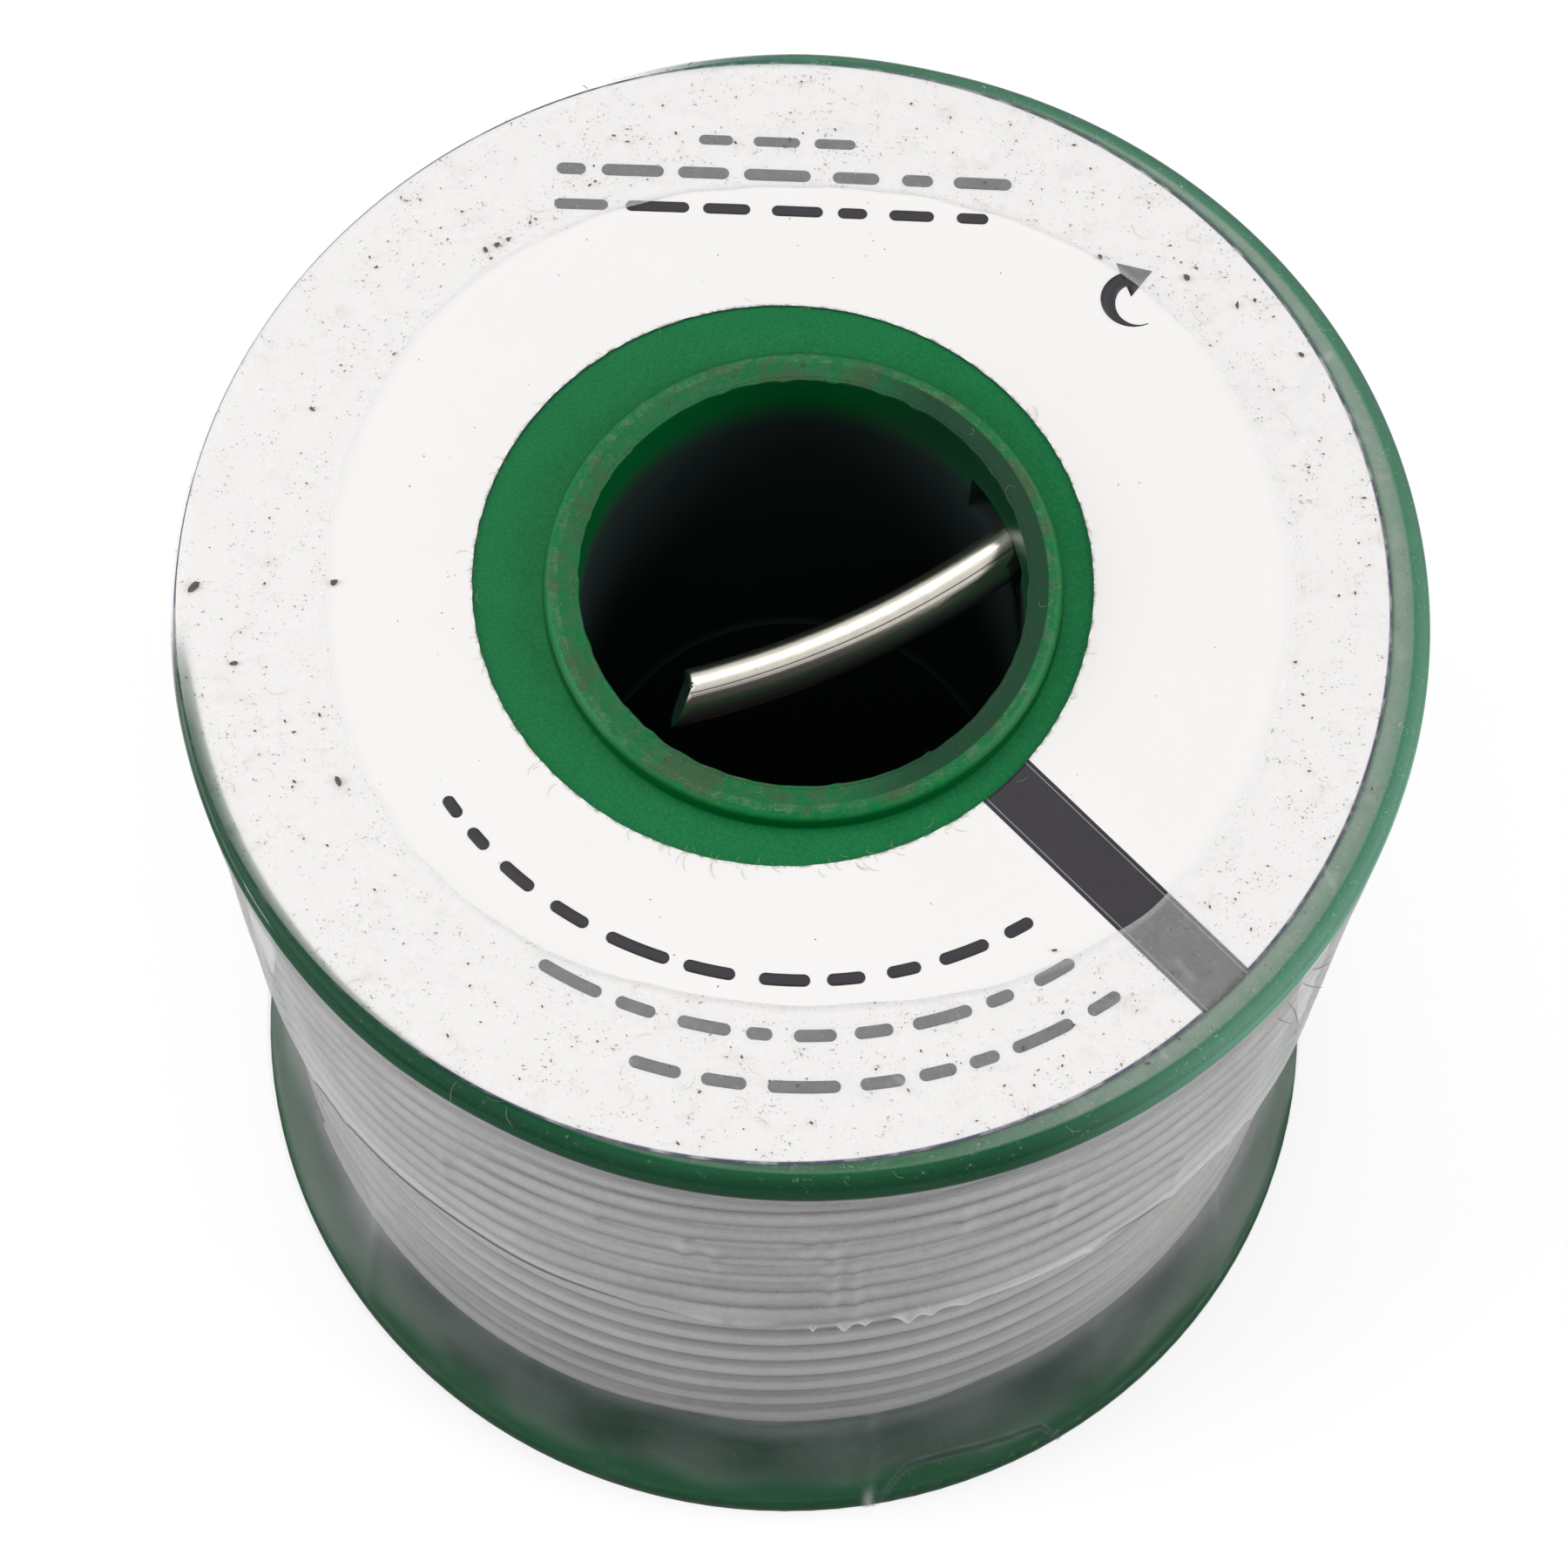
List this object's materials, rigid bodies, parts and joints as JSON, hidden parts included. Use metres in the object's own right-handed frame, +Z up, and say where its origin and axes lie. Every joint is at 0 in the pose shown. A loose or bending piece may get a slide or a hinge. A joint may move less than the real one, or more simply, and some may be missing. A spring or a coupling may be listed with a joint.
{
  "type": "solder wire spool",
  "caption": "Small flanged spool of solid solder wire in clear shrink film, with a paper ring on each flange and the wire's start left in the bore.",
  "frame": {"origin": "middle of the hub ring's lower end face, which the spool stands on", "axes": "+Z up along the bore to the end that the wire starts at; -Y is the side towards the viewer"},
  "size_m": [0.0562, 0.0562, 0.0558],
  "materials": {
    "spool_plastic": "moulded polystyrene, semi-gloss, dusty on the hub rings",
    "solder": "bright drawn soft metal",
    "label_paper": "matte coated paper",
    "shrink_film": "clear shrink film, creased and slightly milky"
  },
  "bodies": {
    "root": {"upper_spool_half": "spool_plastic", "lower_spool_half": "spool_plastic", "solder_tail": "solder", "solder_layer_1": "solder", "solder_layer_2": "solder", "solder_layer_3": "solder", "solder_layer_4": "solder", "solder_layer_5": "solder", "solder_layer_6": "solder", "upper_label": "label_paper", "lower_label": "label_paper", "upper_shrink_film": "shrink_film", "lower_shrink_film": "shrink_film"}
  },
  "joints": []
}
